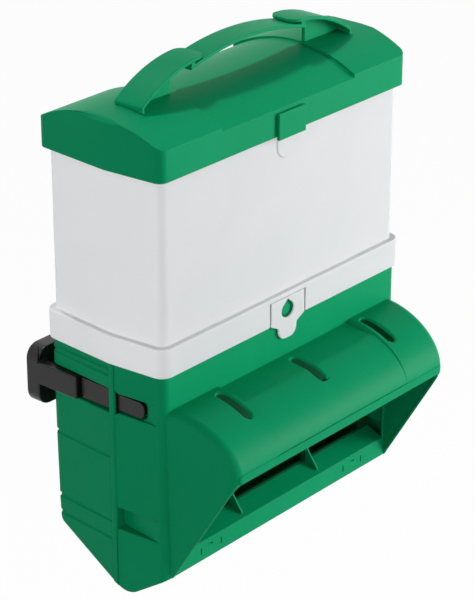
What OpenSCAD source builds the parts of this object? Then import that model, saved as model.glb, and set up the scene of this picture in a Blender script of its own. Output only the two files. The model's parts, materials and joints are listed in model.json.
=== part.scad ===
// Hanging hopper feeder: wall bracket, V-floored base with hood and trough,
// translucent hopper and a lift-off lid with a carrying handle.
// The wall is the plane Y = 0 and the front faces -Y. Z = 0 is the middle of the bracket's arms.

/* [Hopper] */
// Length of the hopper between its end corners
body_len = 290; // [260:1:330]
// Depth of the hopper, front to back
body_depth = 119; // [105:1:140]
// Height of the hopper with its skirt
hopper_h = 180; // [130:1:240]
// How far each end wall swells out to its ridge
end_bulge = 5; // [2:0.5:8]
// How far the end ridge lies in front of the middle
ridge_lead = 10; // [0:0.5:12]
// Radius of the upright corners
corner_r = 8; // [5:0.5:12]
// Thickness of the hopper wall
hopper_wall = 2; // [1.5:0.1:3]
// Height of the hopper's skirt, which slips over the base
skirt_h = 25; // [20:0.5:30]
// Height of the skirt's lower edge above the arms' middle
skirt_z = 34.5; // [30:0.5:45]
// Half width of the raised panel on the hopper's front
panel_half = 83; // [60:1:100]
// How far that panel stands proud
panel_rise = 0.6; // [0.3:0.1:1.2]

/* [Hopper tongues] */
// Width of a tongue between its two slots
tongue_w = 43; // [36:0.5:52]
// Length that hangs below the skirt
tongue_drop = 16; // [10:0.5:20]
// Width of the tongue's round tip
tip_w = 22; // [16:0.5:28]
// Height over which the tongue narrows to its tip
tongue_waist = 5; // [2:0.5:6]
// Rounding of the tongue's shoulders
shoulder_r = 3; // [1.5:0.5:3.5]
// Rounding where the shoulders run into the tip
waist_r = 3; // [2:0.5:5]
// Width of the slot beside the tongue
tongue_slot = 1; // [0.6:0.1:2]
// Height of the slots above the skirt's edge
slot_h = 20.5; // [18:0.5:21]
// Diameter of the hole in the tongue
tongue_hole = 13; // [8:0.5:13.5]
// Height of the hole's centre above the skirt's edge
hole_rise = 9; // [4:0.5:9.5]
// Diameter of the base's stud behind the hole
stud_d = 11.5; // [6:0.5:12]
// How far that stud rises
stud_rise = 0.3; // [0.1:0.05:0.3]

/* [Lid] */
// Thickness of the lid
lid_wall = 2.4; // [1.8:0.1:3.2]
// Gap between the hopper's wall and the lid's wall
lid_gap = 2.6; // [1:0.1:4]
// Height of the lid's upright walls
lid_wall_h = 26; // [20:0.5:32]
// Rise of the arched top above the front wall
arch_h = 16; // [10:0.5:24]
// How far the arch's ridge lies in front of the lid's middle
arch_lead = 2; // [0:0.5:4]
// How far the lid reaches down over the hopper
lid_lap = 17.5; // [12:0.5:19]
// Rounding where the top turns into the ends
lid_end_r = 7; // [4:0.5:10]
// Half length of the sunk middle part of the top
sink_half = 81; // [60:1:95]
// Depth of that sunk part along the middle
sink = 1.6; // [0.8:0.1:1.8]
// Depth of that sunk part where it meets the walls
sink_edge = 3; // [2:0.1:4]
// Width of a latch tab
latch_w = 33; // [24:0.5:44]
// How far a latch tab reaches below the lid's edge
latch_drop = 2.5; // [0.5:0.5:3]
// Height of a latch tab
latch_h = 22; // [18:0.5:23]
// Thickness of a latch tab
latch_t = 2.6; // [2:0.1:3.5]
// Gap between a latch tab and the lid's wall
latch_gap = 0.4; // [0.3:0.05:0.8]
// Rise of the bump on the hopper below the latch tab
bump_rise = 1.6; // [0.8:0.1:2]
// Width of that bump
bump_w = 20; // [12:0.5:26]
// Distance from the lid's edge down to the middle of the bump's round foot
bump_drop = 12; // [9:0.5:18]
// Height of the bump's straight part
bump_h = 10; // [6:0.5:11]

/* [Handle] */
// How far the handle's middle lies in front of the lid's middle
handle_lead = 10.5; // [4:0.5:16]
// Distance from the lid's end corners to the top of each strap's bend
strap_in = 95; // [88:1:100]
// Outer radius of a strap's bend
strap_r = 120; // [105:1:135]
// Thickness of a strap
strap_t = 3; // [2.5:0.1:4]
// Height of the straps' tops above the lid's edge
strap_top = 69.4; // [66:0.1:74]
// Width of a strap at its foot
strap_foot_w = 29; // [24:0.5:36]
// Width of a strap at its tip
strap_tip_w = 28; // [21:0.5:30]
// How far a strap's tip reaches past the top of its bend
tip_past = 2; // [0:0.5:5]
// Height of a strap's cut end above the lid's top
strap_end_h = 3.3; // [2.6:0.1:4]
// Width of the grip band
grip_w = 25; // [20:0.5:28]
// Thickness of the grip band
grip_t = 3; // [2.5:0.1:4]
// Radius of the grip band's arch
grip_r = 260; // [230:1:300]
// Gap between the straps' tips and the grip below them
grip_gap = 0.3; // [0.2:0.05:0.8]
// How far the grip reaches in under each strap's bend
grip_past = 14; // [8:0.5:18]
// Width of the lug on each end of the grip
lug_w = 5; // [3:0.5:8]
// Length of the pad under each strap's foot
pad_len = 3; // [2:0.5:8]
// Height of that pad above the lid's top
pad_h = 1.5; // [1:0.1:2.5]
// Thickness of the web that fills the corner under each strap
web_t = 3.4; // [2:0.1:5]

/* [Base] */
// How far the base's walls stand out beyond the hopper's
base_out = 2.1; // [1.8:0.1:3.2]
// Thickness of the base's walls
base_wall = 2.6; // [2:0.1:3.4]
// Width of a guide groove on the base's ends
groove_h = 3.5; // [2:0.5:4]
// Depth of a guide groove
groove_t = 1.4; // [0.8:0.1:1.5]
// Lower edge of the top guide groove
groove_a_z = 27; // [25.5:0.5:28]
// Lower edge of the second guide groove, just above the arms
groove_b_z = 21.5; // [15:0.5:21.5]
// Lower edge of the middle guide groove
groove_c_z = -51.5; // [-60:0.5:-40]
// Lower edge of the fourth guide groove
groove_d_z = -110; // [-118:0.5:-106]
// Lower edge of the last guide groove
groove_e_z = -126; // [-130:0.5:-122]
// Gap between the base's rim and the hopper's skirt
skirt_gap = 0.7; // [0.6:0.05:1.2]
// How far the back wall leans in towards its foot
back_lean = 6; // [2:0.5:10]
// Level of the back wall's foot
back_foot_z = -132; // [-145:0.5:-120]
// Level of the keel, the lowest line of the floor
keel_z = -172.5; // [-190:0.5:-165]
// How far the keel lies in front of the middle
keel_lead = 23; // [10:0.5:32]
// Rounding of the keel
keel_r = 16; // [8:0.5:24]
// Level at which the floor meets the front wall
trough_foot_z = -146.5; // [-152:0.5:-140]
// Height of the sill below the feed opening
sill_h = 17; // [12:0.5:22]
// How far the throat's ends lie inside the base's corners
throat_side = 11; // [9:0.5:18]
// Top edge of the throat
throat_top_z = -40; // [-55:0.5:-30]

/* [Hood] */
// Level at which the hood leaves the front wall
hood_root_z = 4.5; // [-4:0.5:10]
// How far the hood stands out from the front wall
hood_reach = 64; // [50:0.5:76]
// How far the hood falls to its lip
hood_fall = 45; // [36:0.5:54]
// Thickness of the hood and its cheeks
hood_wall = 2.5; // [2:0.1:3.2]
// How far the hood's root lies inside the base's corners
cheek_in = 3; // [2:0.5:6]
// Angle at which the cheeks close in towards the front
cheek_plan = 7; // [4:0.25:8]
// Angle at which the cheeks close in towards the foot
cheek_fall = 1; // [0.5:0.25:3]
// Half length of the hood's sunk middle part
hood_sink_half = 84; // [60:1:88]
// Depth of that sunk part
hood_sink = 1.2; // [0.6:0.1:1.6]
// Distance from the front wall to the hood's slots
hood_slot_in = 8; // [6:0.5:12]
// Distance from the throat's ends to the outer slots
end_bay = 44; // [38:0.5:50]
// Length of a slot in the hood
hood_slot_len = 33; // [20:0.5:38]
// Width of a slot in the hood
hood_slot_w = 4; // [3:0.1:6]

/* [Feed tray] */
// Thickness of the tray
tray_t = 2; // [1.6:0.1:2.6]
// Depth of the tray from the sill to the baffle
tray_depth = 14.5; // [10:0.5:20]
// How far the tray rises from the sill to the baffle
tray_rise = 7; // [4:0.5:10]
// Thickness of a divider
divider_t = 2; // [1.5:0.1:3]
// Distance from the throat's ends to the dividers
divider_bay = 86.5; // [80:0.5:92]
// Distance from the sill to a divider's nose
divider_in = 1; // [0.5:0.5:3]
// Height of a divider's nose above the tray
divider_nose = 3; // [2:0.5:5]
// Height of a divider at the baffle
divider_h = 14.5; // [10:0.5:20]
// Thickness of the feed baffle
baffle_t = 2.4; // [1.8:0.1:3]
// How far the baffle reaches up behind the front wall
baffle_lap = 12; // [8:0.5:16]
// Height of the strip below the feed windows
window_sill = 2; // [1:0.5:4]
// Height of the feed windows in the baffle
window_h = 26; // [18:0.5:30]
// Distance between neighbouring feed windows, past a divider
window_gap = 10; // [8:0.5:16]
// Distance from the throat's ends to the end windows
window_end = 14; // [12:0.5:20]

/* [Wall bracket] */
// Thickness of the bracket's back plate
plate_t = 14; // [10:0.5:18]
// How far the back plate reaches above the arms' middle
plate_up = 21; // [19:0.5:28]
// How far the back plate reaches below the arms' middle
plate_down = 31; // [22:0.5:36]
// How far the plate and arms stand out beyond the base's corners
plate_out = 6.6; // [6:0.1:9]
// Gap between the back plate and the base
plate_gap = 8; // [6:0.5:12]
// Rounding of the back plate's ends
plate_r = 12; // [6:0.5:14]
// Height of an arm
arm_h = 20; // [16:0.5:21]
// Height of the snap end of an arm
clip_h = 14.5; // [10:0.5:16]
// Thickness of a snap arm
clip_t = 4; // [3:0.1:5]
// Length of the stiff part of an arm
arm_root = 42; // [36:0.5:50]
// Width of the notch at which the snap arm bends
notch = 2.5; // [1.5:0.1:4]
// How far the snap end reaches past the bridge strip
clip_past = 29; // [22:0.5:32]
// Depth of the channel behind a snap arm, which leaves it room to bend
flex_room = 5.6; // [5:0.1:7]
// Gap between the arm and the bridge strip
strip_gap = 0.4; // [0.3:0.05:0.8]
// Thickness of the bridge strip over the arm
strip_t = 2.7; // [2:0.1:3.4]
// Width of the bridge strip
strip_w = 6; // [5:0.5:9]
// How far the bridge strip stands out from the end wall
strip_rise = 0.4; // [0.2:0.1:1]
// Height of the channel for the arms
channel_h = 21.5; // [21.5:0.5:26]
// Length of the pocket in front of the bridge strip
pocket_len = 44; // [42:0.5:47]
// Depth of the lower pocket at the bridge strip
low_pocket = 7; // [4:0.5:10]
// Level of the lower pocket's middle
low_pocket_z = -104; // [-112:0.5:-96]
// Thickness of the plate's skin round its pockets
plate_skin = 4; // [3:0.5:6]
// Half width of the solid rib at each screw column
plate_rib = 14; // [10:0.5:18]
// Thickness of the plate's ends beside their rounding
plate_end = 5; // [3:0.5:8]
// Thickness of the neck at which a snap arm bends
neck_t = 1.6; // [1.2:0.1:2.4]
// How much lower the neck is than the arm, above and below
neck_in = 2; // [1:0.5:4]
// How much lower the snap arm is than the stiff arm, above and below
clip_in = 1; // [0.5:0.5:2]
// Length over which the snap arm narrows to its end
clip_taper = 3; // [2:0.5:5]
// Free room of the pocket round the snap end
clip_free = 1.5; // [1:0.1:2]
// Depth of the finger recess beyond the snap end
finger_in = 2.5; // [1:0.1:4]
// Length of the lower pocket's deep part
low_pocket_flat = 4; // [2:0.5:8]
// How much lower the lower pocket is than the upper one
low_pocket_in = 1; // [0.5:0.5:3]
// Diameter of the wall screw holes
screw_d = 5.2; // [4:0.1:6.5]
// Diameter of the sunk seat for a screw head
screw_head_d = 11; // [8:0.5:13]
// Depth of that seat from the plate's front
screw_seat = 8; // [4:0.5:9]
// Distance between the screw columns
screw_span = 200; // [120:1:220]
// Distance between the screw rows
screw_rise = 22; // [18:0.5:24]

/* [Hidden] */
$fn = 64;

GREEN = "#00905f";
WHITE = "#e3e6e6";
BLACK = "#2b2b2d";

// Small overshoot, so that a cut passes clean through a face
over = 1;
// Clearance that seats and loose pieces keep from each other
seat_gap = 0.3;
// Points in each rounded corner of an outline
arc_steps = 6;
// Points in each arch of a cross-section
arch_steps = 20;

// Half sizes of the stacked bodies at their corners, as [length, depth]
hopper_half = [body_len / 2, body_depth / 2];
base_half = hopper_half + [base_out, base_out];
skirt_out = base_out + skirt_gap + hopper_wall;
skirt_half = hopper_half + [skirt_out, skirt_out];
lid_half = hopper_half + [lid_gap + lid_wall, lid_gap + lid_wall];

// Middle of the stacked bodies, and the faces of the base
mid_y = -(plate_t + plate_gap + base_half[1]);
front_y = mid_y - base_half[1];
back_y = mid_y + base_half[1];
ridge_y = mid_y - ridge_lead;
split_y = ridge_y + strip_w / 2;

// Levels
hopper_top = skirt_z + hopper_h;
base_top = skirt_z + skirt_h - hopper_wall - seat_gap;
lid_z = hopper_top - lid_lap;
lid_shoulder = lid_z + lid_wall_h;
lid_top = lid_shoulder + arch_h;
hood_lip_z = hood_root_z - hood_fall;
hood_lip_y = front_y - hood_reach;
strap_peak = lid_z + strap_top;
handle_y = mid_y - handle_lead;

// Handle, placed from the lid's ends
strap_x = lid_half[0] - strap_in;
strap_tip_x = strap_x - tip_past;
strap_end_rise = lid_top + strap_end_h - (strap_peak - strap_r);
strap_end_x = strap_x + sqrt(strap_r * strap_r - strap_end_rise * strap_end_rise);
grip_half = strap_x + grip_past;
grip_tip_drop = grip_r - sqrt(grip_r * grip_r - strap_tip_x * strap_tip_x);
grip_peak = strap_peak - strap_t - grip_gap + grip_tip_drop;

// Snap arm and its channel
strip_in = base_half[0] + end_bulge - strip_t;
arm_out = strip_in - strip_gap;
arm_in = arm_out - clip_t;
channel_in = arm_in - flex_room;
plate_half = base_half[0] + plate_out;
clip_y0 = -(plate_t + arm_root + notch);
strip_front_y = ridge_y - strip_w / 2;
clip_y1 = strip_front_y - clip_past;
pocket_y1 = strip_front_y - pocket_len;

// Lengths that follow the base's
throat_half = base_half[0] - throat_side;
hood_half = base_half[0] - cheek_in;
slot_pitch = throat_half - end_bay;
divider_x = throat_half - divider_bay;

// Feed tray behind the sill and baffle at its back, clear of the channels' linings
sill_z = trough_foot_z + sill_h;
inner_y = front_y + base_wall;
baffle_half = channel_in - base_wall - over;
baffle_y = inner_y + tray_depth;
baffle_top_z = throat_top_z + baffle_lap;
tray_back_z = sill_z + tray_rise;
window_foot_z = tray_back_z + window_sill;
hood_slot_y = front_y - hood_slot_in;

// Outline helpers

function unit(v) = v / norm(v);

function fillet(a, b, c, r) =
    r == 0 ? [b] :
    let (
        u = unit(a - b),
        v = unit(c - b),
        half = acos(u * v) / 2,
        centre = b + unit(u + v) * r / sin(half),
        p = b + u * r / tan(half) - centre,
        q = b + v * r / tan(half) - centre,
        start = atan2(p[1], p[0]),
        turn = (atan2(q[1], q[0]) - start + 540) % 360 - 180
    )
    [for (i = [0 : arc_steps])
        centre + r * [cos(start + turn * i / arc_steps), sin(start + turn * i / arc_steps)]];

function rounded(pts, radii) =
    let (n = len(pts))
    [for (i = [0 : n - 1])
        each fillet(pts[(i + n - 1) % n], pts[i], pts[(i + 1) % n], radii[i])];

// Moves every side of an anticlockwise outline inwards by t
function inset(pts, t) =
    let (n = len(pts))
    [for (i = [0 : n - 1])
        let (
            d = unit(pts[i] - pts[(i + n - 1) % n]),
            e = unit(pts[(i + 1) % n] - pts[i]),
            dn = [-d[1], d[0]],
            en = [-e[1], e[0]]
        )
        pts[i] + (dn + en) * t / (1 + dn * en)];

// Plan of the stacked bodies: a rectangle whose ends swell to a ridge
function plan_points(half) = [
    [-half[0], mid_y - half[1]], [half[0], mid_y - half[1]],
    [half[0] + end_bulge, ridge_y],
    [half[0], mid_y + half[1]], [-half[0], mid_y + half[1]],
    [-half[0] - end_bulge, ridge_y]
];

module plan(half, r, z0, z1) {
    translate([0, 0, z0])
        linear_extrude(z1 - z0)
            polygon(rounded(plan_points(half), [r, r, 0, r, r, 0]));
}

// Extrudes an outline drawn in Y and Z along X, over x0 to x1
module along_x(x0, x1) {
    translate([x0, 0, 0])
        rotate([90, 0, 90])
            linear_extrude(x1 - x0) children();
}

// Extrudes an outline drawn in X and Z along Y, over y0 to y1
module along_y(y0, y1) {
    translate([0, y1, 0])
        rotate([90, 0, 0])
            linear_extrude(y1 - y0) children();
}

module box(low, high) {
    translate(low) cube(high - low);
}

// Copies what it is given onto the left end as well
module both_ends() {
    children();
    mirror([1, 0, 0]) children();
}

// Turns what is drawn at the front to the back of the stacked bodies
module at_back() {
    translate([0, 2 * mid_y, 0]) mirror([0, 1, 0]) children();
}

// Wall bracket

module screw_places() {
    for (x = [-screw_span / 2, screw_span / 2])
        for (z = [-screw_rise / 2, screw_rise / 2])
            translate([x, 0, z]) rotate([90, 0, 0]) children();
}

module arm_root_right() {
    neck_h = arm_h - 2 * neck_in;
    box([arm_in, -plate_t - arm_root, -arm_h / 2], [plate_half, -plate_t, arm_h / 2]);
    box([arm_in, clip_y0 + seat_gap, -neck_h / 2], [arm_in + neck_t, -plate_t, neck_h / 2]);
}

module plate_pocket(x0, x1) {
    box([x0, -plate_t + plate_skin, plate_skin - plate_down], [x1, over, plate_up - plate_skin]);
}

module wall_bracket() {
    column = screw_span / 2;
    color(BLACK)
    difference() {
        union() {
            along_y(-plate_t, 0)
                polygon(rounded([
                    [-plate_half, -plate_down], [plate_half, -plate_down],
                    [plate_half, plate_up], [-plate_half, plate_up]
                ], [plate_r, plate_r, plate_r, plate_r]));
            both_ends() arm_root_right();
        }
        plate_pocket(-column + plate_rib, column - plate_rib);
        both_ends() plate_pocket(column + plate_rib, plate_half - plate_r - plate_end);
        screw_places() translate([0, 0, -over]) cylinder(d = screw_d, h = plate_t + 2 * over);
        screw_places()
            translate([0, 0, plate_t - screw_seat]) cylinder(d = screw_head_d, h = screw_seat + over);
    }
}

module clip_right() {
    arm = arm_h / 2 - clip_in;
    end = clip_h / 2;
    taper_y = strip_front_y - clip_taper;
    end_r = end * 0.85;
    along_x(arm_in, arm_out)
        polygon(rounded([
            [clip_y0, -arm], [clip_y0, arm], [strip_front_y, arm], [taper_y, end],
            [clip_y1, end], [clip_y1, -end], [taper_y, -end], [strip_front_y, -arm]
        ], [0, 0, 0, 0, end_r, end_r, 0, 0]));
}

module bracket_clip_right() {
    color(BLACK) clip_right();
}

module bracket_clip_left() {
    color(BLACK) mirror([1, 0, 0]) clip_right();
}

// Base

// Cross-section of the base, anticlockwise, with the rim at the given level
function base_section(top) = [
    [front_y, trough_foot_z], [mid_y - keel_lead, keel_z],
    [back_y - back_lean, back_foot_z], [back_y, skirt_z], [back_y, top], [front_y, top]
];

module base_solid() {
    intersection() {
        plan(base_half, corner_r, keel_z, base_top);
        along_x(-base_half[0] - end_bulge, base_half[0] + end_bulge)
            polygon(rounded(base_section(base_top), [0, keel_r, corner_r, 0, 0, 0]));
    }
}

module base_hollow() {
    intersection() {
        plan(base_half - [base_wall, base_wall], corner_r - base_wall, keel_z, base_top + over);
        along_x(-base_half[0], base_half[0])
            polygon(rounded(inset(base_section(base_top + 2 * base_wall), base_wall),
                [0, keel_r - base_wall, corner_r - base_wall, 0, 0, 0]));
    }
}

// Half-space on the inner side of both cheeks, at t inside their outer faces
module between_cheeks(t) {
    far = 400;
    intersection_for (side = [0, 1])
        mirror([side, 0, 0])
            translate([hood_half - t, front_y, hood_root_z])
                rotate([0, cheek_fall, -cheek_plan])
                    translate([-far, -far / 2, -far / 2]) cube(far);
}

// The end wall's outer face at y, in front of its ridge
function end_wall_x(y) = base_half[0] + end_bulge * (y - front_y) / (ridge_y - front_y);

// Recess in the end wall: deep_x deep up to flat_y, then running out to the surface near the corner
module ramp(deep_x, flat_y, z0, z1) {
    translate([0, 0, z0])
        linear_extrude(z1 - z0)
            polygon([
                [deep_x, strip_front_y], [deep_x, flat_y],
                [end_wall_x(pocket_y1) + seat_gap, pocket_y1], [plate_half, pocket_y1], [plate_half, strip_front_y]
            ]);
}

module arm_channel() {
    z = channel_h / 2;
    arm = arm_h / 2 - clip_in + clip_free;
    end = clip_h / 2 + clip_free;
    taper_y = strip_front_y - clip_taper;
    end_y = clip_y1 - clip_free;
    end_r = end * 0.85;
    // Space behind the bridge strip
    box([channel_in, strip_front_y - over, -z], [strip_in, back_y + over, z]);
    // Open to the outside behind the strip
    box([channel_in, split_y, -z], [plate_half, back_y + over, z]);
    // Pocket round the snap end
    along_x(channel_in, plate_half)
        polygon(rounded([
            [strip_front_y, -arm], [strip_front_y, arm], [taper_y, end],
            [end_y, end], [end_y, -end], [taper_y, -end]
        ], [0, 0, 0, end_r, end_r, 0]));
    ramp(end_wall_x(end_y) - finger_in, end_y, -end, end);
}

module channel_lining() {
    z = channel_h / 2 + base_wall;
    box([channel_in - base_wall, pocket_y1, -z], [base_half[0] + end_bulge, back_y, z]);
}

module lower_pocket() {
    half = channel_h / 2 - low_pocket_in;
    ramp(strip_in - low_pocket, strip_front_y - low_pocket_flat, low_pocket_z - half, low_pocket_z + half);
}

module lower_lining() {
    z = channel_h / 2 + base_wall;
    box([strip_in - low_pocket - base_wall, pocket_y1, low_pocket_z - z],
        [base_half[0] + end_bulge, strip_front_y + base_wall, low_pocket_z + z]);
}

// Guide grooves from the bridge strip round the rear corner, of even depth in the slanting wall
module end_grooves() {
    difference() {
        for (z = [groove_a_z, groove_b_z, groove_c_z, groove_d_z, groove_e_z])
            box([base_half[0] - corner_r - over, split_y, z], [plate_half, back_y + over, z + groove_h]);
        plan(base_half - [groove_t, groove_t], corner_r - groove_t, keel_z - over, base_top + over);
    }
}

// The bridge strip stands proud from the skirt's edge down to the floor
module end_strip() {
    high = skirt_z - skirt_gap;
    intersection() {
        plan(base_half + [strip_rise, strip_rise], corner_r, keel_z, high);
        along_x(-plate_half, plate_half)
            polygon(rounded(base_section(base_top), [0, keel_r, corner_r, 0, 0, 0]));
        both_ends()
            box([strip_in + strip_t / 2, strip_front_y, keel_z], [plate_half, split_y, high]);
    }
}

module tongue_stud() {
    translate([0, front_y + over, skirt_z + hole_rise])
        rotate([90, 0, 0]) cylinder(d = stud_d, h = stud_rise + over);
}

module base_shell() {
    difference() {
        union() {
            difference() {
                base_solid();
                base_hollow();
            }
            intersection() {
                base_solid();
                both_ends() {
                    channel_lining();
                    lower_lining();
                }
            }
            tongue_stud();
            at_back() tongue_stud();
        }
        both_ends() arm_channel();
        both_ends() end_grooves();
        both_ends() lower_pocket();
        box([-throat_half, front_y - over, sill_z], [throat_half, inner_y, throat_top_z]);
    }
}

module base_rear_shell() {
    far = 400;
    color(GREEN)
    intersection() {
        base_shell();
        box([-far, split_y, -far], [far, far, far]);
    }
}

module base_front_shell() {
    far = 400;
    color(GREEN)
    union() {
        intersection() {
            base_shell();
            box([-far, -far, -far], [far, split_y, far]);
        }
        end_strip();
    }
}

// Hood

// Quarter ellipse from the lip up to the root, moved in by t
function hood_curve(t) = [
    for (i = [0 : arch_steps])
        let (a = 90 * i / arch_steps)
        [front_y - (hood_reach - t) * cos(a), hood_lip_z + (hood_fall - t) * sin(a)]
];

module hood_outline() {
    behind = front_y + corner_r;
    polygon(concat(hood_curve(0),
        [[behind, hood_root_z], [behind, trough_foot_z], [front_y, trough_foot_z]]));
}

module hood_inside() {
    low = trough_foot_z - over;
    ahead = hood_lip_y - over;
    behind = front_y + corner_r + over;
    polygon(concat(
        [[ahead, low], [ahead, hood_lip_z - over], [hood_lip_y + hood_wall, hood_lip_z - over]],
        hood_curve(hood_wall),
        [[behind, hood_root_z - hood_wall], [behind, low]]));
}

// Room above the sunk middle, out past the hood's outer face
module hood_sunk_part() {
    behind = front_y + corner_r;
    low = trough_foot_z - over;
    difference() {
        along_x(-hood_sink_half, hood_sink_half)
            polygon(concat(hood_curve(-over),
                [[behind, hood_root_z + over], [behind, low], [hood_lip_y - over, low]]));
        along_x(-hood_half, hood_half)
            polygon(concat(hood_curve(hood_sink),
                [[behind + over, hood_root_z], [behind + over, low - over], [hood_lip_y + hood_sink, low - over]]));
    }
}

module hood() {
    color(GREEN)
    difference() {
        intersection() {
            along_x(-hood_half, hood_half) hood_outline();
            between_cheeks(0);
        }
        intersection() {
            along_x(-hood_half, hood_half) hood_inside();
            between_cheeks(hood_wall);
        }
        hood_sunk_part();
        base_solid();
        for (i = [-1 : 1])
            box([i * slot_pitch - hood_slot_w / 2, hood_slot_y - hood_slot_len, hood_lip_z],
                [i * slot_pitch + hood_slot_w / 2, hood_slot_y, hood_root_z + over]);
    }
}

// Plate at the tray's back with three feed windows and a flange that meets the front wall above the throat
module feed_baffle() {
    color(GREEN)
    difference() {
        union() {
            box([-baffle_half, baffle_y, tray_back_z - tray_t], [baffle_half, baffle_y + baffle_t, baffle_top_z]);
            box([-baffle_half, inner_y, baffle_top_z - baffle_t], [baffle_half, baffle_y + baffle_t, baffle_top_z]);
        }
        for (x = [
            [-throat_half + window_end, -divider_x - window_gap / 2],
            [-divider_x + window_gap / 2, divider_x - window_gap / 2],
            [divider_x + window_gap / 2, throat_half - window_end]
        ])
            box([x[0], baffle_y - over, window_foot_z], [x[1], baffle_y + baffle_t + over, window_foot_z + window_h]);
    }
}

// Sloped floor from the sill's top edge back to the baffle
module feed_tray() {
    color(GREEN)
    along_x(-baffle_half, baffle_half)
        polygon([
            [inner_y, sill_z - tray_t], [baffle_y, tray_back_z - tray_t],
            [baffle_y, tray_back_z], [inner_y, sill_z]
        ]);
}

// Fin that stands on the tray and leans back against the baffle
module divider(x) {
    nose_y = inner_y + divider_in;
    nose_z = sill_z + tray_rise * divider_in / tray_depth;
    color(GREEN)
    along_x(x - divider_t / 2, x + divider_t / 2)
        polygon([
            [nose_y, nose_z], [baffle_y, tray_back_z],
            [baffle_y, tray_back_z + divider_h], [nose_y, nose_z + divider_nose]
        ]);
}

module feed_divider_left() { divider(-divider_x); }

module feed_divider_right() { divider(divider_x); }

// Hopper

module latch_bump() {
    translate([0, mid_y - hopper_half[1] + over, lid_z - bump_drop])
        rotate([90, 0, 0]) {
            cylinder(d = bump_w, h = bump_rise + over);
            translate([-bump_w / 2, 0, 0]) cube([bump_w, bump_h, bump_rise + over]);
        }
}

module front_panel() {
    box([-panel_half, mid_y - hopper_half[1] - panel_rise, skirt_z + skirt_h],
        [panel_half, mid_y, hopper_top - lid_lap - seat_gap]);
}

module tongue_plate() {
    out = mid_y - skirt_half[1];
    half = tongue_w / 2;
    tip = tip_w / 2;
    foot = skirt_z - tongue_drop;
    top = skirt_z + slot_h;
    waist = skirt_z - tongue_waist;
    tip_r = min(tip * 0.9, tongue_drop - tongue_waist - waist_r);
    along_y(out, out + hopper_wall)
        polygon(rounded([
            [-half, skirt_z], [-tip, waist], [-tip, foot], [tip, foot],
            [tip, waist], [half, skirt_z], [half, top], [-half, top]
        ], [shoulder_r, waist_r, tip_r, tip_r, waist_r, shoulder_r, 0, 0]));
}

module tongue_opening() {
    out = mid_y - skirt_half[1];
    half = tongue_w / 2 + tongue_slot;
    box([-half, out - over, skirt_z - over],
        [half, out + hopper_wall + skirt_gap / 2, skirt_z + slot_h + seat_gap]);
}

// Round hole that runs up to a point
function teardrop(r) = concat(
    [[0, r * sqrt(2)]],
    [for (a = [135 : 15 : 405]) r * [cos(a), sin(a)]]);

module tongue() {
    out = mid_y - skirt_half[1];
    color(WHITE)
    difference() {
        tongue_plate();
        translate([0, 0, skirt_z + hole_rise])
            along_y(out - over, out + hopper_wall + over) polygon(teardrop(tongue_hole / 2));
    }
}

module hopper_tongue_front() { tongue(); }

module hopper_tongue_rear() { at_back() tongue(); }

module hopper() {
    inner = hopper_half - [hopper_wall, hopper_wall];
    skirt_inner = skirt_half - [hopper_wall, hopper_wall];
    color(WHITE)
    difference() {
        union() {
            plan(hopper_half, corner_r, skirt_z + skirt_h - hopper_wall, hopper_top);
            plan(skirt_half, corner_r + skirt_out - base_out, skirt_z, skirt_z + skirt_h);
            front_panel();
            at_back() front_panel();
            latch_bump();
            at_back() latch_bump();
        }
        plan(inner, corner_r - hopper_wall, skirt_z - over, hopper_top + over);
        plan(skirt_inner, corner_r, skirt_z - over, skirt_z + skirt_h - hopper_wall);
        tongue_opening();
        at_back() tongue_opening();
    }
}

// Lid

// Round arch that meets the lid's front wall the given rise below its top, as [Y, Z, radius]
function arch_circle(top, rise) =
    let (
        reach = lid_half[1] - arch_lead,
        r = (reach * reach + rise * rise) / (2 * rise)
    )
    [mid_y - arch_lead, top - r, r];

// Points of such an arch from back to front, moved in by t, over the given half width
function arch(circle, t, half) =
    let (
        r = circle[2] - t,
        start = asin((mid_y + half - circle[0]) / r),
        end = asin((mid_y - half - circle[0]) / r)
    )
    [for (i = [0 : arch_steps])
        let (a = start + (end - start) * i / arch_steps)
        [circle[0] + r * sin(a), circle[1] + r * cos(a)]];

top_arch = arch_circle(lid_top, arch_h);
sunk_arch = arch_circle(lid_top - sink, arch_h - sink + sink_edge);

// Arched cross-section, t inside the outer face and with its lower edge at foot
function lid_section(t, foot) = concat(
    [[mid_y - lid_half[1] + t, foot], [mid_y + lid_half[1] - t, foot]],
    arch(top_arch, t, lid_half[1] - t));

module lid_solid(t, foot) {
    end = lid_half[0] + end_bulge - t;
    r = lid_end_r - t;
    intersection() {
        plan(lid_half - [t, t], corner_r, foot, lid_top);
        along_x(-end, end) polygon(lid_section(t, foot));
        along_y(mid_y - lid_half[1], mid_y + lid_half[1])
            polygon(rounded([[-end, foot], [end, foot], [end, lid_top - t], [-end, lid_top - t]], [0, 0, r, r]));
    }
}

// Room above the sunk middle, grown by t on the inner side
module lid_sunk_part(t) {
    half = lid_half[1] + over;
    along_x(-sink_half - t, sink_half + t)
        polygon(concat(arch(sunk_arch, t, half), [[mid_y - half, lid_top + over], [mid_y + half, lid_top + over]]));
}

module latch_tab() {
    out = mid_y - lid_half[1] - latch_gap;
    foot = lid_z - latch_drop;
    box([-latch_w / 2, out - latch_t, foot], [latch_w / 2, out, foot + latch_h]);
}

module lid_latch_front() { color(GREEN) latch_tab(); }

module lid_latch_rear() { color(GREEN) at_back() latch_tab(); }

module lid_shell() {
    color(GREEN)
    difference() {
        lid_solid(0, lid_z);
        difference() {
            lid_solid(lid_wall, lid_z - over);
            lid_sunk_part(lid_wall);
        }
        lid_sunk_part(0);
    }
}

// Handle

// Round band of the given outer radius whose top lies at peak, in X and Z
module band(x, peak, r, t) {
    translate([x, peak - r])
        difference() {
            circle(r = r, $fn = 128);
            circle(r = r - t, $fn = 128);
        }
}

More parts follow.
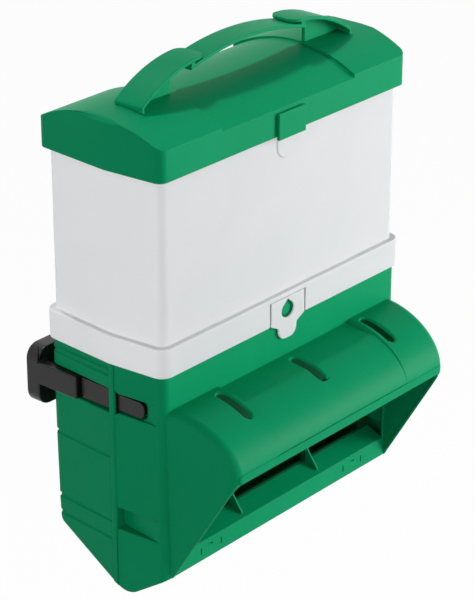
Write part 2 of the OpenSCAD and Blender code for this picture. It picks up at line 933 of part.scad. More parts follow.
// Thin web from the sunk middle's edge out to the strap's foot, up into the strap
module strap_web() {
    intersection() {
        box([sink_half, handle_y - web_t / 2, lid_shoulder], [strap_end_x, handle_y + web_t / 2, strap_peak]);
        along_y(handle_y - web_t, handle_y + web_t)
            translate([strap_x, strap_peak - strap_r]) circle(r = strap_r - strap_t / 2, $fn = 128);
    }
}

module strap_right() {
    half = strap_foot_w / 2;
    color(GREEN)
    difference() {
        union() {
            intersection() {
                along_y(handle_y - half, handle_y + half) band(strap_x, strap_peak, strap_r, strap_t);
                translate([0, handle_y, lid_shoulder])
                    linear_extrude(strap_peak - lid_shoulder + over)
                        polygon(rounded([
                            [strap_tip_x, -strap_tip_w / 2], [strap_end_x, -half],
                            [strap_end_x, half], [strap_tip_x, strap_tip_w / 2]
                        ], [strap_tip_w / 3, 0, 0, strap_tip_w / 3]));
            }
            box([strap_end_x - pad_len, handle_y - half, lid_shoulder],
                [strap_end_x, handle_y + half, lid_top + pad_h]);
            strap_web();
        }
        lid_solid(0, lid_z);
    }
}

module handle_strap_right() { strap_right(); }

module handle_strap_left() { mirror([1, 0, 0]) strap_right(); }

module handle_grip() {
    half = grip_w / 2;
    color(GREEN)
    union() {
        intersection() {
            along_y(handle_y - half, handle_y + half) band(0, grip_peak, grip_r, grip_t);
            box([-grip_half, handle_y - half, lid_top], [grip_half, handle_y + half, grip_peak]);
        }
        both_ends()
            intersection() {
                box([grip_half - lug_w, handle_y - half, lid_top], [grip_half, handle_y + half, grip_peak]);
                along_y(handle_y - half, handle_y + half)
                    difference() {
                        translate([strap_x, strap_peak - strap_r]) circle(r = strap_r - strap_t, $fn = 128);
                        translate([0, grip_peak - grip_r]) circle(r = grip_r - grip_t, $fn = 128);
                    }
            }
    }
}

wall_bracket();
bracket_clip_left();
bracket_clip_right();
base_rear_shell();
base_front_shell();
hood();
feed_baffle();
feed_tray();
feed_divider_left();
feed_divider_right();
hopper();
hopper_tongue_front();
hopper_tongue_rear();
lid_shell();
lid_latch_front();
lid_latch_rear();
handle_strap_left();
handle_strap_right();
handle_grip();
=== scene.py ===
# %% [markdown]
# # A hanging hopper feeder
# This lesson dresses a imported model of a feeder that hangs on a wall: a black snap-in bracket, a green
# base with a hooded feed opening, a milky hopper and a green lid with a carrying handle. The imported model
# is the fixed frame. Every piece made here sits where the frame says and moves with one of its bodies.

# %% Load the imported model
import json
import math

import bmesh
import bpy
from mathutils import Matrix, Vector


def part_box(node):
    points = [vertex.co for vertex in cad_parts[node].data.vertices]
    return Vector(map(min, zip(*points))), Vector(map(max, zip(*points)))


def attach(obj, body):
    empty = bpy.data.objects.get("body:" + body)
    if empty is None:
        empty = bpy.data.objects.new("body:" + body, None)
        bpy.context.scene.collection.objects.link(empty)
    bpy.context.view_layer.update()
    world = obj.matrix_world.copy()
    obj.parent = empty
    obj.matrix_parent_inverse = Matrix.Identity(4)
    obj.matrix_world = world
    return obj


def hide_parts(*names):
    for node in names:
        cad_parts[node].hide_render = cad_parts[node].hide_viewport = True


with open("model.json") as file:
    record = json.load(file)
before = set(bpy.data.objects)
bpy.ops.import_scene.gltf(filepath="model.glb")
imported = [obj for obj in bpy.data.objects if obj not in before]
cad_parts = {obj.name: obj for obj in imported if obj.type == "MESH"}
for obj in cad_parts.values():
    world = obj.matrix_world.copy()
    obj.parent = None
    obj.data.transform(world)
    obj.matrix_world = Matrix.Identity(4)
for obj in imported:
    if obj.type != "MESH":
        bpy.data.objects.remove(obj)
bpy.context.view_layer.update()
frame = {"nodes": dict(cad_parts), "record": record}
scene = bpy.context.scene
MM = 0.001

# %% [markdown]
# ## Camera
# The photograph looks down on the feeder's front left corner with a long lens. A camera could be aimed by
# hand, but its angle, place and focal length were worked out from the lid's and skirt's corners, so they
# are set as numbers. The focal length is in pixels of a picture 600 high, and the lens follows from it.

# %% Aim the camera
AZIMUTH = math.radians(-49.29)
ELEVATION = math.radians(24.61)
FOCAL_PX = 2408.0
IMAGE_H = 600.0
SENSOR = 36.0
CAMERA_PLACE = Vector((-1.3708, -1.2727, 0.8638))
FAR_CLIP = 20.0

back = Vector((math.sin(AZIMUTH) * math.cos(ELEVATION),
               -math.cos(AZIMUTH) * math.cos(ELEVATION),
               math.sin(ELEVATION)))
right = Vector((math.cos(AZIMUTH), math.sin(AZIMUTH), 0.0))
up = back.cross(right)
turn = Matrix((right, up, back)).transposed()
bpy.ops.object.camera_add(location=CAMERA_PLACE)
camera = bpy.context.object
camera.name = "camera"
camera.matrix_world = Matrix.Translation(CAMERA_PLACE) @ turn.to_4x4()
camera.data.sensor_width = SENSOR
camera.data.lens = FOCAL_PX * SENSOR / IMAGE_H
camera.data.clip_end = FAR_CLIP
scene.camera = camera
print("lens in mm:", round(camera.data.lens, 2))

# %% [markdown]
# ## Shader sums
# Node trees are easier to read as sums. A small class holds one socket, and its operators add Math nodes,
# so that `1 - mask` works. Every other node comes from one method that sets its options first and its
# sockets next.

# %% A socket that can be used in sums


class Wire:
    def __init__(self, tree, socket=None):
        self.tree = tree
        self.socket = socket

    def node(self, kind, settings=None, values=None, out=0):
        made = self.tree.nodes.new(kind)
        for name, value in (settings or {}).items():
            setattr(made, name, value)
        for name, value in (values or {}).items():
            if isinstance(value, Wire):
                self.tree.links.new(value.socket, made.inputs[name])
            else:
                made.inputs[name].default_value = value
        return Wire(self.tree, made.outputs[out]) if made.outputs else None

    def sum_of(self, operation, first, second):
        return self.node("ShaderNodeMath", {"operation": operation}, {0: first, 1: second})

    def __add__(self, other):
        return self.sum_of("ADD", self, other)

    def __radd__(self, other):
        return self.sum_of("ADD", other, self)

    def __sub__(self, other):
        return self.sum_of("SUBTRACT", self, other)

    def __rsub__(self, other):
        return self.sum_of("SUBTRACT", other, self)

    def __mul__(self, other):
        return self.sum_of("MULTIPLY", self, other)

    def __rmul__(self, other):
        return self.sum_of("MULTIPLY", other, self)

    def __pow__(self, other):
        return self.sum_of("POWER", self, other)

    def top(self, other):
        return self.sum_of("MAXIMUM", self, other)

    def blend(self, first, second):
        return self.node("ShaderNodeMix", {"data_type": "RGBA"},
                         {"Factor": self, 6: first, 7: second}, out=2)


# %% A mask of what is seen and not lit


def seen_directly(wire):
    path = wire.node("ShaderNodeLightPath").socket.node.outputs
    camera_ray = Wire(wire.tree, path["Is Camera Ray"])
    glossy_ray = Wire(wire.tree, path["Is Glossy Ray"])
    through_ray = Wire(wire.tree, path["Is Transmission Ray"])
    return camera_ray.top(glossy_ray).top(through_ray)


# %% [markdown]
# ## Light
# The feeder was photographed in a white studio. A picture of a sky could light it, but a plain sum is
# easier to steer. The world is white to the camera and in reflections, and weaker where it lights the
# plastic: brightest near the horizon and dark overhead.

# %% Make the white world
WHITE = (1.0, 1.0, 1.0, 1.0)
HORIZON_LIGHT = 1.15
ZENITH_LIGHT = 0.0
HORIZON_HUG = 0.6

scene.view_settings.view_transform = "Standard"
world = bpy.data.worlds.new("studio")
scene.world = world
world.use_nodes = True
world.node_tree.nodes.clear()
sky = Wire(world.node_tree)
direction = sky.node("ShaderNodeTexCoord", out="Generated")
height = sky.node("ShaderNodeSeparateXYZ", None, {0: direction}, out=2).top(0.0)
seen = seen_directly(sky)
dimmed = HORIZON_LIGHT - (HORIZON_LIGHT - ZENITH_LIGHT) * height ** HORIZON_HUG
strength = dimmed + (1 - dimmed) * seen
background = sky.node("ShaderNodeBackground", None, {"Color": WHITE, "Strength": strength})
sky.node("ShaderNodeOutputWorld", None, {"Surface": background})
print("world nodes:", len(world.node_tree.nodes))

# %% [markdown]
# ## Lamps
# A broad lamp on the right lights the front and leaves the left end darker, where a weak lamp fills in. A
# smaller one hangs behind and above, and throws the handle's shadow forwards over the lid. The last lamp
# reaches the milky hopper alone, and stands in for the light that shines through its walls. Real light
# through the walls would need many more samples.

# %% Hang the lamps
AIM = Vector((0.0, -0.09, 0.05))
LAMPS = {  # place, width and power of each, in metres and watts
    "front_lamp": ((1.5, -1.6, 0.25), 1.2, 35.0),
    "left_lamp": ((-2.0, -0.4, 0.4), 1.2, 3.5),
    "back_lamp": ((0.1, 0.75, 2.0), 0.2, 17.0),
    "milk_lamp": ((-2.1, -0.35, 0.5), 1.2, 20.0),
}


def add_lamp(name, place, size, power):
    bpy.ops.object.light_add(type="AREA", location=place)
    lamp = bpy.context.object
    lamp.name = name
    lamp.data.shape = "DISK"
    lamp.data.size = size
    lamp.data.energy = power
    lamp.rotation_euler = (AIM - Vector(place)).to_track_quat("-Z", "Y").to_euler()
    return lamp


lamps = {name: add_lamp(name, *row) for name, row in LAMPS.items()}
milky_pieces = bpy.data.collections.new("milky_pieces")
lamps["milk_lamp"].light_linking.receiver_collection = milky_pieces
print("lamps:", list(lamps))

# %% [markdown]
# ## Floor
# The feeder hangs above a white sweep. A plain white plane would throw too much light up under the base,
# so the floor is pale and glowing to the camera but dimmer to the plastic.

# %% Lay the floor
FLOOR_Z = -0.62
FLOOR_SIZE = 14.0
FLOOR_PALE = (0.93, 0.93, 0.93, 1.0)
FLOOR_DIM = (0.40, 0.40, 0.40, 1.0)
FLOOR_GLOW = 0.96

bpy.ops.object.select_all(action="DESELECT")
bpy.ops.mesh.primitive_plane_add(size=FLOOR_SIZE, location=(0.0, 0.0, FLOOR_Z))
floor = bpy.context.object
floor.name = "floor"
bpy.ops.object.transform_apply(location=True)
floor_finish = bpy.data.materials.new("floor_pale")
floor_finish.use_nodes = True
floor_finish.node_tree.nodes.clear()
ground = Wire(floor_finish.node_tree)
seen = seen_directly(ground)
matt = ground.node("ShaderNodeBsdfDiffuse", None, {"Color": seen.blend(FLOOR_DIM, FLOOR_PALE)})
glow = ground.node("ShaderNodeEmission", None, {"Color": WHITE, "Strength": 1.0})
mixed = ground.node("ShaderNodeMixShader", None, {0: seen * FLOOR_GLOW, 1: matt, 2: glow})
ground.node("ShaderNodeOutputMaterial", None, {"Surface": mixed})
floor.data.materials.append(floor_finish)
print("floor height:", FLOOR_Z)

# %% [markdown]
# ## Finishes
# All pieces are moulded plastic. A flat colour looks like paint, so each finish has slow flow marks from
# the mould, a fine grain that breaks up the gloss, and a shine that wanders a little. The patterns read
# Object coordinates, which are the frame's own metres, so a scale of 900 makes grains of about a
# millimetre. The hopper is milky: light wanders under its skin, so its shader has some Subsurface. The
# plate behind the feed opening gets a much darker green. This is painted shade: it stands in for the
# shadow of the hood inside the opening, and the real plate is the same green as the rest.

# %% One shader for all plastics
FLOW_SCALE = 11.0
FLOW_DETAIL = 2.0
FLOW_TWIST = 1.2
FLOW_SHINE = 0.10
GRAIN_DETAIL = 3.0
GRAIN_SHINE = 0.06
GRAIN_STRENGTH = 0.35
PLASTIC_IOR = 1.49
MILK_DEPTH = 0.004
MILK_SPREAD = (1.0, 1.0, 1.0)


def moulded(name, first, second, shine, gloss, grain, relief, milky=0.0):
    finish = bpy.data.materials.new(name)
    finish.use_nodes = True
    finish.node_tree.nodes.clear()
    wire = Wire(finish.node_tree)
    place = wire.node("ShaderNodeTexCoord", out="Object")
    flow = wire.node("ShaderNodeTexNoise", None, {
        "Vector": place, "Scale": FLOW_SCALE, "Detail": FLOW_DETAIL, "Distortion": FLOW_TWIST})
    grains = wire.node("ShaderNodeTexNoise", None, {
        "Vector": place, "Scale": grain, "Detail": GRAIN_DETAIL})
    bump = wire.node("ShaderNodeBump", None, {
        "Strength": GRAIN_STRENGTH, "Distance": relief, "Height": grains})
    surface = wire.node("ShaderNodeBsdfPrincipled", None, {
        "Base Color": flow.blend(first, second),
        "Roughness": shine + FLOW_SHINE * flow + GRAIN_SHINE * grains,
        "Normal": bump,
        "IOR": PLASTIC_IOR,
        "Specular IOR Level": gloss,
        "Subsurface Weight": milky,
        "Subsurface Scale": MILK_DEPTH,
        "Subsurface Radius": MILK_SPREAD,
    })
    wire.node("ShaderNodeOutputMaterial", None, {"Surface": surface})
    return finish


# %% Mix the plastics
GREEN_LIT = (0.003, 0.345, 0.145, 1.0)
GREEN_DEEP = (0.001, 0.300, 0.118, 1.0)
# Painted shade: two dark greens for the plate behind the feed opening, in place of the hood's shadow.
PAINTED_SHADE_PALE = (0.001, 0.070, 0.024, 1.0)
PAINTED_SHADE_DARK = (0.0005, 0.050, 0.016, 1.0)
MILK_PALE = (0.735, 0.745, 0.755, 1.0)
MILK_COOL = (0.69, 0.705, 0.715, 1.0)
BLACK_WARM = (0.013, 0.013, 0.014, 1.0)
BLACK_COOL = (0.009, 0.009, 0.010, 1.0)

FINISHES = {
    "green_plastic": moulded("green_satin", GREEN_DEEP, GREEN_LIT,
                             shine=0.34, gloss=0.05, grain=900.0, relief=0.12 * MM),
    "white_plastic": moulded("milky_satin", MILK_COOL, MILK_PALE,
                             shine=0.40, gloss=0.20, grain=700.0, relief=0.10 * MM, milky=0.3),
    "black_plastic": moulded("black_semi_gloss", BLACK_COOL, BLACK_WARM,
                             shine=0.18, gloss=0.32, grain=1100.0, relief=0.10 * MM),
}
# Painted shade material for the plate behind the feed opening, darker than its real green plastic.
PAINTED_SHADE_GREEN = moulded("green_painted_shade", PAINTED_SHADE_DARK, PAINTED_SHADE_PALE,
                      shine=0.45, gloss=0.05, grain=900.0, relief=0.12 * MM)
print("finishes:", list(FINISHES))

# %% [markdown]
# ## Choosing by place
# In edit mode an operator acts on what is selected. By hand that is done with the mouse. Here a small
# helper selects the corners, edges or faces that pass a test on their place or normal, and says how many
# there were.

# %% Choose in edit mode
TINY = 0.00002


def make_active(piece):
    bpy.ops.object.select_all(action="DESELECT")
    piece.select_set(True)
    bpy.context.view_layer.objects.active = piece


def choose(piece, kind, test):
    bpy.context.tool_settings.mesh_select_mode = (kind == "VERT", kind == "EDGE", kind == "FACE")
    bpy.ops.mesh.select_all(action="DESELECT")
    shape = bmesh.from_edit_mesh(piece.data)
    shape.normal_update()
    items = {"VERT": shape.verts, "EDGE": shape.edges, "FACE": shape.faces}[kind]
    picked = [item for item in items if test(item)]
    for item in picked:
        item.select_set(True)
    shape.select_flush_mode()
    bmesh.update_edit_mesh(piece.data)
    return len(picked)


def shift_corners(piece, test, step):
    make_active(piece)
    bpy.ops.object.mode_set(mode="EDIT")
    moved = choose(piece, "VERT", test)
    bpy.ops.transform.translate(value=step)
    bpy.ops.object.mode_set(mode="OBJECT")
    return moved


# %% Finish with modifiers


def apply_modifier(piece, kind, **settings):
    make_active(piece)
    modifier = piece.modifiers.new(kind.lower(), kind)
    for name, value in settings.items():
        setattr(modifier, name, value)
    bpy.ops.object.modifier_apply(modifier=modifier.name)


def cut_with(piece, cutter):
    apply_modifier(piece, "BOOLEAN", operation="DIFFERENCE", solver="EXACT", object=cutter)
    bpy.data.objects.remove(cutter, do_unlink=True)


def add_block(middle, size):
    bpy.ops.object.select_all(action="DESELECT")
    bpy.ops.mesh.primitive_cube_add(size=1.0, location=middle)
    block = bpy.context.object
    block.scale = size
    bpy.ops.object.transform_apply(location=True, scale=True)
    return block


# %% [markdown]
# ## Rounded edges
# A mould has no knife edges, and a small round along each edge catches the light. The pieces could be
# modelled again from primitives, but most of their shapes are already right in the frame. So such a piece
# is a copy of its node's mesh: the loose triangles are merged, flat areas are dissolved to single faces,
# and a Bevel modifier rounds every edge that turns more sharply than the facets of a curve do.

# %% Copy a node
MERGE = 0.00001
FLAT = math.radians(0.5)


def take_copy(node, flatten=True):
    piece = bpy.data.objects.new(node + "_moulded", frame["nodes"][node].data.copy())
    scene.collection.objects.link(piece)
    piece.data.materials.clear()
    make_active(piece)
    bpy.ops.object.mode_set(mode="EDIT")
    bpy.ops.mesh.select_all(action="SELECT")
    bpy.ops.mesh.remove_doubles(threshold=MERGE)
    if flatten:
        bpy.ops.mesh.dissolve_limited(angle_limit=FLAT)
    bpy.ops.object.mode_set(mode="OBJECT")
    return piece


# %% Round it and hand it to its body
FACET = math.radians(26.0)
ROUND_STEPS = 2
SMOOTH = math.radians(35.0)
NODE_SLOT = {part["node"]: part["material_slot"] for part in frame["record"]["subparts"]}
NODE_BODY = {node: body for body, nodes in frame["record"]["behaviour"]["bodies"].items() for node in nodes}


def round_edges(piece, width, turn=FACET):
    apply_modifier(piece, "BEVEL", width=width, segments=ROUND_STEPS, limit_method="ANGLE",
                   angle_limit=turn, use_clamp_overlap=False)


def settle(piece, node, finish=None):
    slot = NODE_SLOT[node]
    make_active(piece)
    piece.data.materials.clear()
    piece.data.materials.append(finish or FINISHES[slot])
    bpy.ops.object.shade_smooth_by_angle(angle=SMOOTH)
    apply_modifier(piece, "WEIGHTED_NORMAL", mode="FACE_AREA", keep_sharp=True)
    if slot == "white_plastic":
        milky_pieces.objects.link(piece)
    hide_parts(node)
    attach(piece, NODE_BODY[node])
    print(piece.name, "faces:", len(piece.data.polygons))


def dress(node, width):
    piece = take_copy(node)
    round_edges(piece, width)
    settle(piece, node)


# %% [markdown]
# ## Bracket
# The bracket is screwed to the wall. It is a thick black plate with two arms, and each arm ends in a
# springy clip that snaps into a pocket of the base. It could be extruded from a cube, but the frame
# already has its ribs and screw holes, so it gets rounds alone. The thick plate has the larger ones.

# %% Dress the bracket
PLATE_ROUND = 1.2 * MM
CLIP_ROUND = 0.7 * MM

dress("wall_bracket", PLATE_ROUND)
for side_name in ("left", "right"):
    dress("bracket_clip_" + side_name, CLIP_ROUND)

# %% [markdown]
# ## Base
# Two green shells meet at a strip on each end. The front shell's wall stays up as a sill below the feed
# opening, and the sill has small slits near both ends, in groups of three. They could be drawn with a
# bump, but real cuts keep their shadow from all sides, so narrow blocks are taken out with a Boolean
# after the edges are rounded.

# %% Dress the base and cut the slits
SHELL_ROUND = 0.8 * MM
SLIT_DEEP = 2.0 * MM
SLITS = [  # across, up, width and height of each, in millimetres
    (80.3, -137.6, 1.4, 6.0),
    (104.8, -137.6, 1.4, 6.0),
    (93.2, -135.1, 5.0, 1.7),
]

dress("base_rear_shell", SHELL_ROUND)
front_shell = take_copy("base_front_shell")
round_edges(front_shell, SHELL_ROUND)
sill_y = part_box("base_front_shell")[0][1]
for across, rise, wide, tall in SLITS:
    for side in (-1, 1):
        middle = (side * across * MM, sill_y, rise * MM)
        cut_with(front_shell, add_block(middle, (wide * MM, 2 * SLIT_DEEP, tall * MM)))
settle(front_shell, "base_front_shell")

# %% [markdown]
# ## Feed opening
# Behind the opening stands a plate with three windows. A sloped tray leads from its foot to the sill, and
# two thin fins stand on the tray. The plate could be rounded too, but one flat face cannot run around a
# window, so its copy keeps its triangles and its edges. The tray's front edge is drawn over the sill, so
# that no dark line shows between the two.

# %% Dress the plate, the tray and the fins
TRAY_ROUND = 0.3 * MM
TRAY_LIP = 2.3 * MM
TRAY_LIFT = 0.4 * MM
FIN_ROUND = 0.4 * MM

baffle = take_copy("feed_baffle", flatten=False)
# The plate gets the painted shade green, which stands in for the hood's shadow inside the opening.
settle(baffle, "feed_baffle", PAINTED_SHADE_GREEN)
tray = take_copy("feed_tray")
tray_front_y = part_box("feed_tray")[0][1]
moved = shift_corners(tray, lambda v: v.co.y < tray_front_y + TINY, (0, -TRAY_LIP, TRAY_LIFT))
round_edges(tray, TRAY_ROUND)
settle(tray, "feed_tray")
for side_name in ("left", "right"):
    dress("feed_divider_" + side_name, FIN_ROUND)
print("tray corners drawn over the sill:", moved)

# %% [markdown]
# ## Hopper
# The hopper is a milky tube with a raised panel on its front, which shows as two faint lines. In the
# frame the panel has upright sides, and they catch too much light. A new panel could be cut, but it is
# enough to move its corners: its two ends go inwards, which makes the sides gentle ramps, and the whole
# goes back a little.

# %% Soften the hopper's panel
TUBE_ROUND = 0.8 * MM
PANEL_FOOT_Z = 58.5 * MM
PANEL_FRONT_Y = -143.4 * MM
PANEL_HALF = 84.0 * MM
PANEL_END = 70.0 * MM
PANEL_RAMP = 1.2 * MM
PANEL_BACK = 0.2 * MM


def on_panel(corner):
    x, y, z = corner.co
    return z > PANEL_FOOT_Z and y < PANEL_FRONT_Y and abs(x) < PANEL_HALF


def at_panel_end(side):
    return lambda v: on_panel(v) and v.co.x * side > PANEL_END


hopper = take_copy("hopper")
for side in (-1, 1):
    shift_corners(hopper, at_panel_end(side), (-side * PANEL_RAMP, 0, 0))
moved = shift_corners(hopper, on_panel, (0, PANEL_BACK, 0))
round_edges(hopper, TUBE_ROUND)
settle(hopper, "hopper")
print("panel corners:", moved)

# %% [markdown]
# ## Tongues
# A springy tongue in the middle of the skirt holds the hopper to a stud on the base, which shows through
# a hole like a drop. Wider gaps could be cut into the skirt, but the tongue moves, so the tongue is made
# narrower instead and the gaps open beside it. Its hole is stretched to the real one's width.

# %% Narrow the tongues and widen their holes
TONGUE_ROUND = 0.4 * MM
TONGUE_GAP = 0.7 * MM
HOLE_NEAR = 9.5 * MM
HOLE_RISE = 9.0 * MM
HOLE_WIDER = (1.25, 1.0, 1.05)

hole_middle = Vector((0.0, 0.0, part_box("hopper")[0][2] + HOLE_RISE))


def at_tongue_side(side, half):
    return lambda v: v.co.x * side > half - TINY


def near_hole(corner):
    return (corner.co.xz - hole_middle.xz).length < HOLE_NEAR


for face_name in ("front", "rear"):
    node = "hopper_tongue_" + face_name
    tongue = take_copy(node)
    tongue_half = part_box(node)[1][0]
    for side in (-1, 1):
        shift_corners(tongue, at_tongue_side(side, tongue_half), (-side * TONGUE_GAP, 0, 0))
    make_active(tongue)
    bpy.ops.object.mode_set(mode="EDIT")
    widened = choose(tongue, "VERT", near_hole)
    bpy.ops.transform.resize(value=HOLE_WIDER, center_override=hole_middle)
    bpy.ops.object.mode_set(mode="OBJECT")
    round_edges(tongue, TONGUE_ROUND)
    settle(tongue, node)
    print("hole corners:", widened)

# %% [markdown]
# ## Lid and handle
# The lid is an arched green shell with a sunk middle, two latch tabs, and a handle of two straps and a
# grip. Each could be swept along a curve. The frame has those curves already, so the pieces get rounds
# alone. The lid's ridge ends in very narrow faces, where a broad round would fold over itself, so its
# round is small.

# %% Dress the lid and the handle
LID_ROUND = 0.4 * MM
LATCH_ROUND = 0.6 * MM
STRAP_ROUND = 0.8 * MM

dress("lid_shell", LID_ROUND)
for face_name in ("front", "rear"):
    dress("lid_latch_" + face_name, LATCH_ROUND)
for strap_node in ("handle_strap_left", "handle_strap_right", "handle_grip"):
    dress(strap_node, STRAP_ROUND)

# %% [markdown]
# ## Hood
# The hood and its cheeks flow into each other on the real feeder, like one blown shell with a mouth cut
# into it. It could be a rounded copy of the frame's hood, but a thin wall leaves no room for broad
# rounds. So the outside is modelled first as a closed skin: a quarter of a circle, stretched to the
# hood's profile, closed, pulled out sideways and trimmed by the two cheek planes.

# %% Draw the hood's profile
HOOD_STEPS = 28
HOOD_REACH = 64.0 * MM
HOOD_FALL = 45.0 * MM
HOOD_BEHIND = 1.8 * MM
LIP_DROP = 0.8 * MM
SIDE_SPARE = 5.0 * MM

hood_low, hood_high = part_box("hood")
hood_half = hood_high[0]
hood_root_z = hood_high[2]
hood_foot_z = hood_low[2]
front_y = hood_low[1] + HOOD_REACH
hood_lip_z = hood_root_z - HOOD_FALL

bpy.ops.object.select_all(action="DESELECT")
bpy.ops.mesh.primitive_circle_add(vertices=4 * HOOD_STEPS, radius=1.0, rotation=(0.0, math.pi / 2, 0.0))
hood = bpy.context.object
hood.name = "hood_skin"
bpy.ops.object.transform_apply(rotation=True)
hood.scale = (1.0, HOOD_REACH, HOOD_FALL)
hood.location = (-hood_half - SIDE_SPARE, front_y, hood_lip_z)
bpy.ops.object.transform_apply(location=True, scale=True)
bpy.ops.object.mode_set(mode="EDIT")
cleared = choose(hood, "VERT", lambda v: v.co.y > front_y + TINY or v.co.z < hood_lip_z - TINY)
bpy.ops.mesh.delete(type="VERT")
print("corners outside the quarter:", cleared)

# %% Close the profile


def draw_on(piece, test, steps):
    choose(piece, "VERT", test)
    for step in steps:
        bpy.ops.mesh.extrude_region_move(TRANSFORM_OT_translate={"value": step})


draw_on(hood, lambda v: v.co.z > hood_root_z - TINY,
        [(0, HOOD_BEHIND, 0), (0, 0, hood_foot_z - hood_root_z), (0, -HOOD_BEHIND, -LIP_DROP)])
draw_on(hood, lambda v: v.co.y < hood_low[1] + TINY, [(0, 0, -LIP_DROP)])
bpy.ops.mesh.select_all(action="SELECT")
bpy.ops.mesh.edge_face_add()
print("profile corners:", len(bmesh.from_edit_mesh(hood.data).verts))

# %% Pull the profile out and trim the cheeks
CHEEK_PLAN = math.radians(7.0)
CHEEK_FALL = math.radians(1.0)
FACING = 0.8

bpy.ops.mesh.extrude_region_move(TRANSFORM_OT_translate={"value": (2 * (hood_half + SIDE_SPARE), 0, 0)})
bpy.ops.mesh.select_all(action="SELECT")
bpy.ops.mesh.normals_make_consistent(inside=False)
for side in (-1, 1):
    cheek_normal = (side * math.cos(CHEEK_FALL) * math.cos(CHEEK_PLAN),
                    -math.cos(CHEEK_FALL) * math.sin(CHEEK_PLAN), -math.sin(CHEEK_FALL))
    bpy.ops.mesh.select_all(action="SELECT")
    bpy.ops.mesh.bisect(plane_co=(side * hood_half, front_y, hood_root_z), plane_no=cheek_normal,
                        use_fill=True, clear_outer=True)
bpy.ops.mesh.select_all(action="SELECT")
bpy.ops.mesh.normals_make_consistent(inside=False)
opened = choose(hood, "FACE", lambda f: f.normal.y > FACING or f.normal.z < -FACING)
bpy.ops.mesh.delete(type="FACE")
print("faces opened towards the base:", opened)

# %% [markdown]
# ## Hood's rounds
# The cheeks meet the hood's top in a broad round, and a narrower one frames the mouth. Edges could be
# picked by hand. Here a test on the two faces beside an edge finds them, and the edge is bevelled in edit
# mode while the skin has no thickness yet.

# %% Round the cheeks and the mouth's frame
CHEEK_ROUND = 9.0 * MM
CHEEK_STEPS = 8
MOUTH_ROUND = 3.0 * MM
MOUTH_STEPS = 4
CHEEK_FACING = 0.9
MOUTH_FACING = 0.9995
NO_SIDEWAYS = 0.02

mouth_normal = Vector((0.0, hood_foot_z - hood_lip_z, -HOOD_REACH)).normalized()


def is_cheek(face):
    return abs(face.normal.x) > CHEEK_FACING


def is_mouth(face):
    return face.normal.dot(mouth_normal) > MOUTH_FACING


def is_top(face):
    return abs(face.normal.x) < NO_SIDEWAYS and not is_mouth(face)


def joins(edge, first, second):
    if len(edge.link_faces) != 2:
        return False
    a, b = edge.link_faces
    return (first(a) and second(b)) or (first(b) and second(a))


rounded = choose(hood, "EDGE", lambda e: joins(e, is_cheek, is_top))
bpy.ops.mesh.bevel(offset=CHEEK_ROUND, segments=CHEEK_STEPS, affect="EDGES")
framed = choose(hood, "EDGE", lambda e: joins(e, is_mouth, lambda f: not is_mouth(f)))
bpy.ops.mesh.bevel(offset=MOUTH_ROUND, segments=MOUTH_STEPS, affect="EDGES")
print("cheek edges:", rounded, "mouth edges:", framed)

# %% [markdown]
# ## Hood's sunk middle
# The middle of the hood lies a little deeper than its ends, most at the root and hardly at the lip. A
# Boolean could sink it by one depth everywhere. Instead the skin is bisected at the steps and beside the
# slots, and its rows of corners are sunk one by one, so that the depth can fade. Last, the mouth's face
# is taken out.

# %% Bisect the skin at the steps and slots
SINK_HALF = 84.0 * MM
SINK_STEP = 1.4 * MM
SLOT_PITCH = 92.1 * MM
SLOT_APART = 8.5 * MM

slot_places = [-SLOT_PITCH, 0.0, SLOT_PITCH]
upright_cuts = [side * x for side in (-1, 1) for x in (SINK_HALF, SINK_HALF - SINK_STEP)]
upright_cuts += [place + side * SLOT_APART for place in slot_places for side in (-1, 1)]
for x in upright_cuts:
    choose(hood, "FACE", is_top)
    bpy.ops.mesh.bisect(plane_co=(x, 0, 0), plane_no=(1, 0, 0))
print("upright cuts:", len(upright_cuts))

# %% Sink the middle and open the mouth
HOOD_SINK = 1.3 * MM
LIP_SHARE = 0.2
CREASE_Y = -171.0 * MM
SUNK_ROOT_Z = 2.2 * MM
ROW_DIGITS = 6

sunk_half = SINK_HALF - SINK_STEP + TINY


def on_sunk_row(row):
    def test(corner):
        x, y, z = corner.co
        return abs(x) < sunk_half and abs(y - row[0]) < TINY and abs(z - row[1]) < TINY

    return test


shape = bmesh.from_edit_mesh(hood.data)
rows = sorted({(round(v.co.y, ROW_DIGITS), round(v.co.z, ROW_DIGITS))
               for v in shape.verts if abs(v.co.x) < sunk_half})
crease_y, crease_z = max(row for row in rows if row[0] <= CREASE_Y)
for row in rows:
    choose(hood, "VERT", on_sunk_row(row))
    if row[0] > CREASE_Y:
        share = min((row[0] - crease_y) / (front_y - crease_y), 1.0)
        level = crease_z - HOOD_SINK + (SUNK_ROOT_Z - crease_z + HOOD_SINK) * share
        bpy.ops.transform.translate(value=(0, 0, level - row[1]))
    else:
        rise = max((row[1] - hood_lip_z) / HOOD_FALL, 0.0)
        bpy.ops.transform.shrink_fatten(value=-HOOD_SINK * (LIP_SHARE + (1 - LIP_SHARE) * rise))
opened = choose(hood, "FACE", is_mouth)
bpy.ops.mesh.delete(type="FACE")
bpy.ops.object.mode_set(mode="OBJECT")
print("sunk rows:", len(rows), "mouth faces opened:", opened)

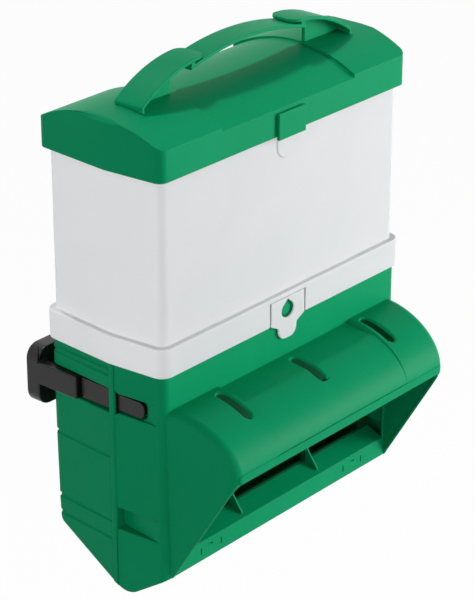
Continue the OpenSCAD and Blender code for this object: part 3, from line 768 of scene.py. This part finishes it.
# %% [markdown]
# ## Hood's wall and slots
# The hood is thin plastic with three rounded slots. The slots could be cut into the skin, but then their
# sides would follow the skin's bends. So Solidify gives the skin its wall first, and three upright blocks
# with round ends are taken out. The slots' upper edges are then softened, since the real ones look
# pressed in.

# %% Give the skin its wall and cut the slots
HOOD_WALL = 2.5 * MM
SLOT_W = 8.6 * MM
SLOT_FRONT_Y = -186.5 * MM
SLOT_BACK_Y = -152.0 * MM
SLOT_HIGH = 40.0 * MM
NEARLY_HALF = 0.49
SLOT_STEPS = 5

apply_modifier(hood, "SOLIDIFY", thickness=HOOD_WALL, offset=-1.0)
for place in slot_places:
    middle = (place, (SLOT_FRONT_Y + SLOT_BACK_Y) / 2, hood_lip_z + SLOT_HIGH)
    cutter = add_block(middle, (SLOT_W, SLOT_BACK_Y - SLOT_FRONT_Y, SLOT_HIGH))
    bpy.ops.object.mode_set(mode="EDIT")
    choose(cutter, "EDGE", lambda e: abs(e.verts[0].co.z - e.verts[1].co.z) > TINY)
    bpy.ops.mesh.bevel(offset=SLOT_W * NEARLY_HALF, segments=SLOT_STEPS, affect="EDGES")
    bpy.ops.object.mode_set(mode="OBJECT")
    cut_with(hood, cutter)
print("hood faces with its slots:", len(hood.data.polygons))

# %% Soften the slots and the rims
SLOT_SOFT = 1.8 * MM
SOFT_STEPS = 3
RIM_SOFT = 0.5 * MM
RIM_TURN = math.radians(55.0)
UP_FACING = 0.25
UPRIGHT = 0.1


def in_slot(corner):
    x, y = corner.co.xy
    beside = min(abs(x - place) for place in slot_places) < SLOT_W
    return beside and SLOT_FRONT_Y - TINY < y < SLOT_BACK_Y + TINY


def is_slot_edge(edge):
    bends = joins(edge, lambda f: f.normal.z > UP_FACING, lambda f: abs(f.normal.z) < UPRIGHT)
    return bends and in_slot(edge.verts[0])


make_active(hood)
bpy.ops.object.mode_set(mode="EDIT")
softened = choose(hood, "EDGE", is_slot_edge)
bpy.ops.mesh.bevel(offset=SLOT_SOFT, segments=SOFT_STEPS, affect="EDGES")
bpy.ops.object.mode_set(mode="OBJECT")
round_edges(hood, RIM_SOFT, RIM_TURN)
settle(hood, "hood")
print("slot edges softened:", softened)
